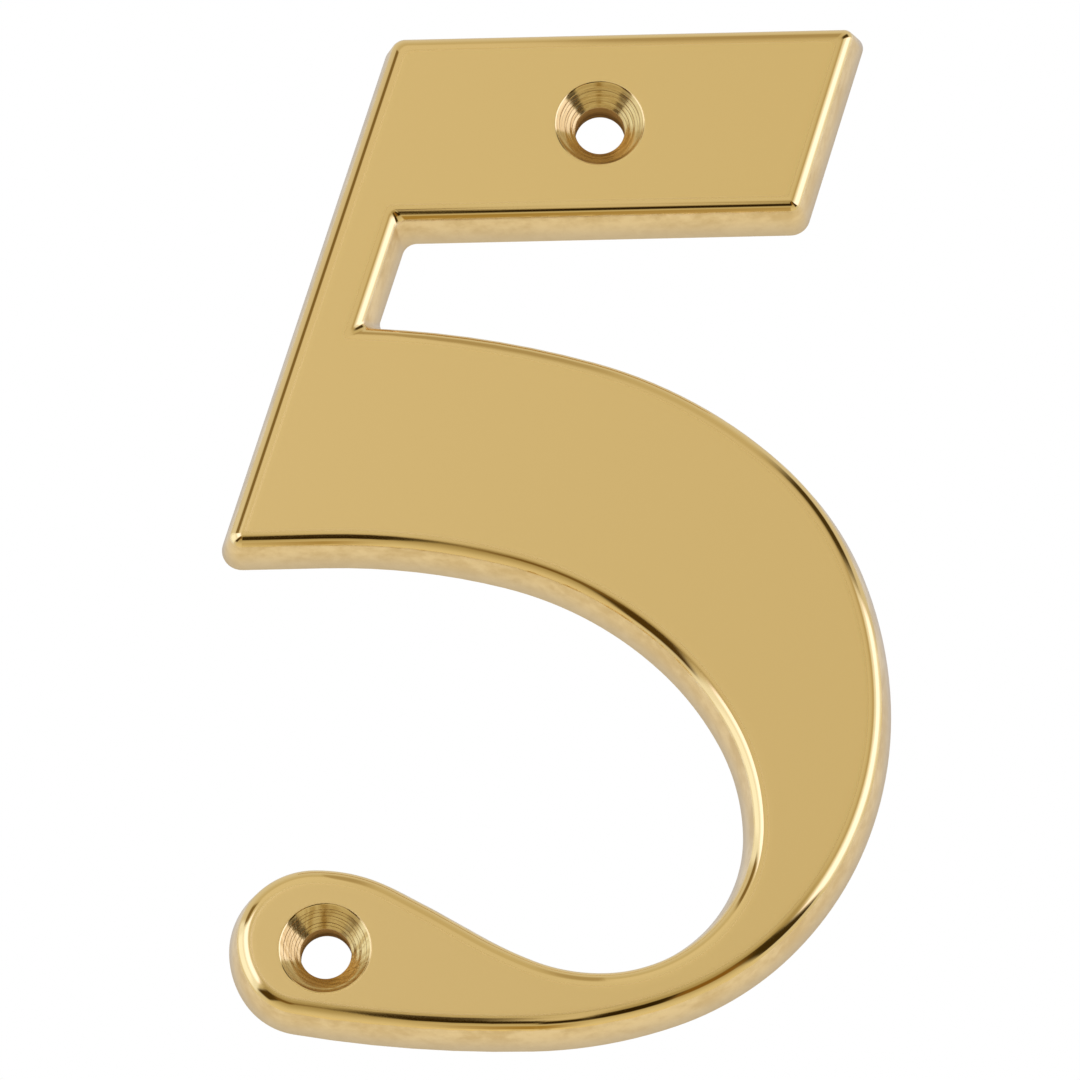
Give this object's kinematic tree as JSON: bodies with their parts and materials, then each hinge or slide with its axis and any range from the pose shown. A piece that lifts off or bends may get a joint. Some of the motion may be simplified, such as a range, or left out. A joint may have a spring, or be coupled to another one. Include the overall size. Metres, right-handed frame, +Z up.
{
  "type": "house number",
  "caption": "Polished brass house numeral 5: flat face, rounded edges, sloped side walls and countersunk screw holes, fixed flat on a wall or door.",
  "frame": {"origin": "on the flat back, on the numeral's centre line and at half its height, where it lies against the wall", "axes": "+Z up the numeral as it is read, +X to the reader's right, +Y into the wall, so the face looks along -Y"},
  "size_m": [0.0476, 0.0035, 0.076],
  "materials": {
    "polished_brass": "mirror-polished face and rounded edge, satin side walls, turned countersinks"
  },
  "bodies": {
    "root": {"numeral": "polished_brass"}
  },
  "joints": []
}
